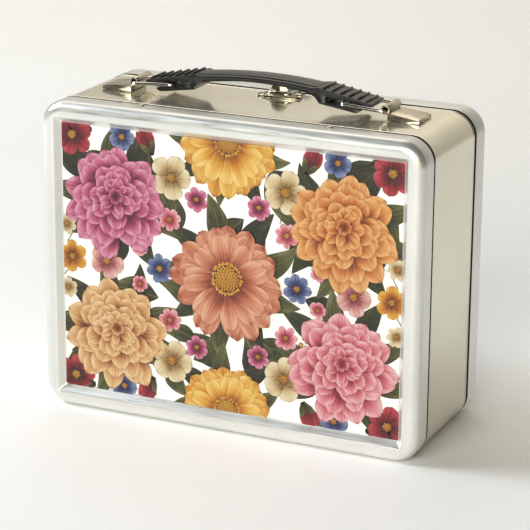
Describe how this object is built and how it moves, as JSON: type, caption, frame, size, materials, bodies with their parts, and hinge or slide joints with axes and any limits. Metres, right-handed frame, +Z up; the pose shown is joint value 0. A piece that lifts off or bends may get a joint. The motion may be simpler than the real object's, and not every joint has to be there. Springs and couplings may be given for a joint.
{
  "type": "metal lunch box",
  "caption": "Flat upright tin lunch box with a printed front cover, a hinged rear lid, a wire-bail draw latch and a plastic carrying handle on wire rings.",
  "frame": {"origin": "middle of the footprint on the surface the box stands on", "axes": "+X along the width, printed front cover facing -Y, rear lid facing +Y, +Z up towards the handle"},
  "size_m": [0.22, 0.0944, 0.1878],
  "materials": {
    "satin_tin": "satin silver-white lacquered tinplate with a fine grain",
    "tinplate": "bright rolled tinplate, clear lacquered, warm tint",
    "nickel_plate": "nickel-plated stamped steel, lightly dulled",
    "steel_wire": "bright plated drawn wire",
    "flower_print": "glossy multicolour flower print on the front cover's sunken panel",
    "black_plastic": "black moulded plastic with a soft sheen"
  },
  "bodies": {
    "root": {"front_cover": "satin_tin", "body_band": "tinplate", "cover_rivet_top_left": "nickel_plate", "cover_rivet_top_right": "nickel_plate", "cover_rivet_bottom_left": "nickel_plate", "cover_rivet_bottom_right": "nickel_plate", "hinge_leaf_body_left": "nickel_plate", "hinge_leaf_body_right": "nickel_plate", "hinge_pin_left": "steel_wire", "hinge_pin_right": "steel_wire", "handle_bracket_left": "nickel_plate", "handle_bracket_right": "nickel_plate", "latch_hook": "nickel_plate", "hook_rivet_left": "nickel_plate", "hook_rivet_right": "nickel_plate"},
    "lid": {"rear_lid": "satin_tin", "hinge_leaf_lid_left": "nickel_plate", "hinge_leaf_lid_right": "nickel_plate", "latch_base": "nickel_plate", "latch_base_rivet_left": "nickel_plate", "latch_base_rivet_right": "nickel_plate", "latch_pin": "steel_wire"},
    "lever": {"latch_lever": "nickel_plate"},
    "bail": {"latch_bail": "steel_wire"},
    "handle": {"handle_grip": "black_plastic"},
    "ring_left": {"handle_ring_left": "steel_wire"},
    "ring_right": {"handle_ring_right": "steel_wire"}
  },
  "joints": [
    {"name": "lid_hinge", "type": "hinge", "parent": "root", "child": "lid", "pos_m": [0, 0.0287, 0.0011], "axis": [-1, 0, 0], "range_deg": [0, 100]},
    {"name": "latch_lever", "type": "hinge", "parent": "lid", "child": "lever", "pos_m": [0.0025, 0.0362, 0.1744], "axis": [1, 0, 0], "range_deg": [0, 105]},
    {"name": "latch_bail", "type": "hinge", "parent": "lever", "child": "bail", "pos_m": [0.0025, 0.0404, 0.174], "axis": [1, 0, 0], "range_deg": [-126, 0]},
    {"name": "handle_lift", "type": "slide", "parent": "root", "child": "handle", "axis": [0, 0, 1], "range_m": [0, 0.0135]},
    {"name": "ring_right", "type": "hinge", "parent": "root", "child": "ring_right", "pos_m": [0.073, 0, 0.1769], "axis": [0, 1, 0], "range_deg": [0, 34]},
    {"name": "ring_left", "type": "hinge", "parent": "root", "child": "ring_left", "pos_m": [-0.073, 0, 0.1769], "axis": [0, -1, 0], "range_deg": [0, 34]}
  ],
  "couplings": [
    {"joint": "latch_bail", "follows": "latch_lever", "ratio": -1.2},
    {"joint": "ring_right", "follows": "handle_lift", "rad_per_m": 43.9},
    {"joint": "ring_left", "follows": "handle_lift", "rad_per_m": 43.9}
  ]
}
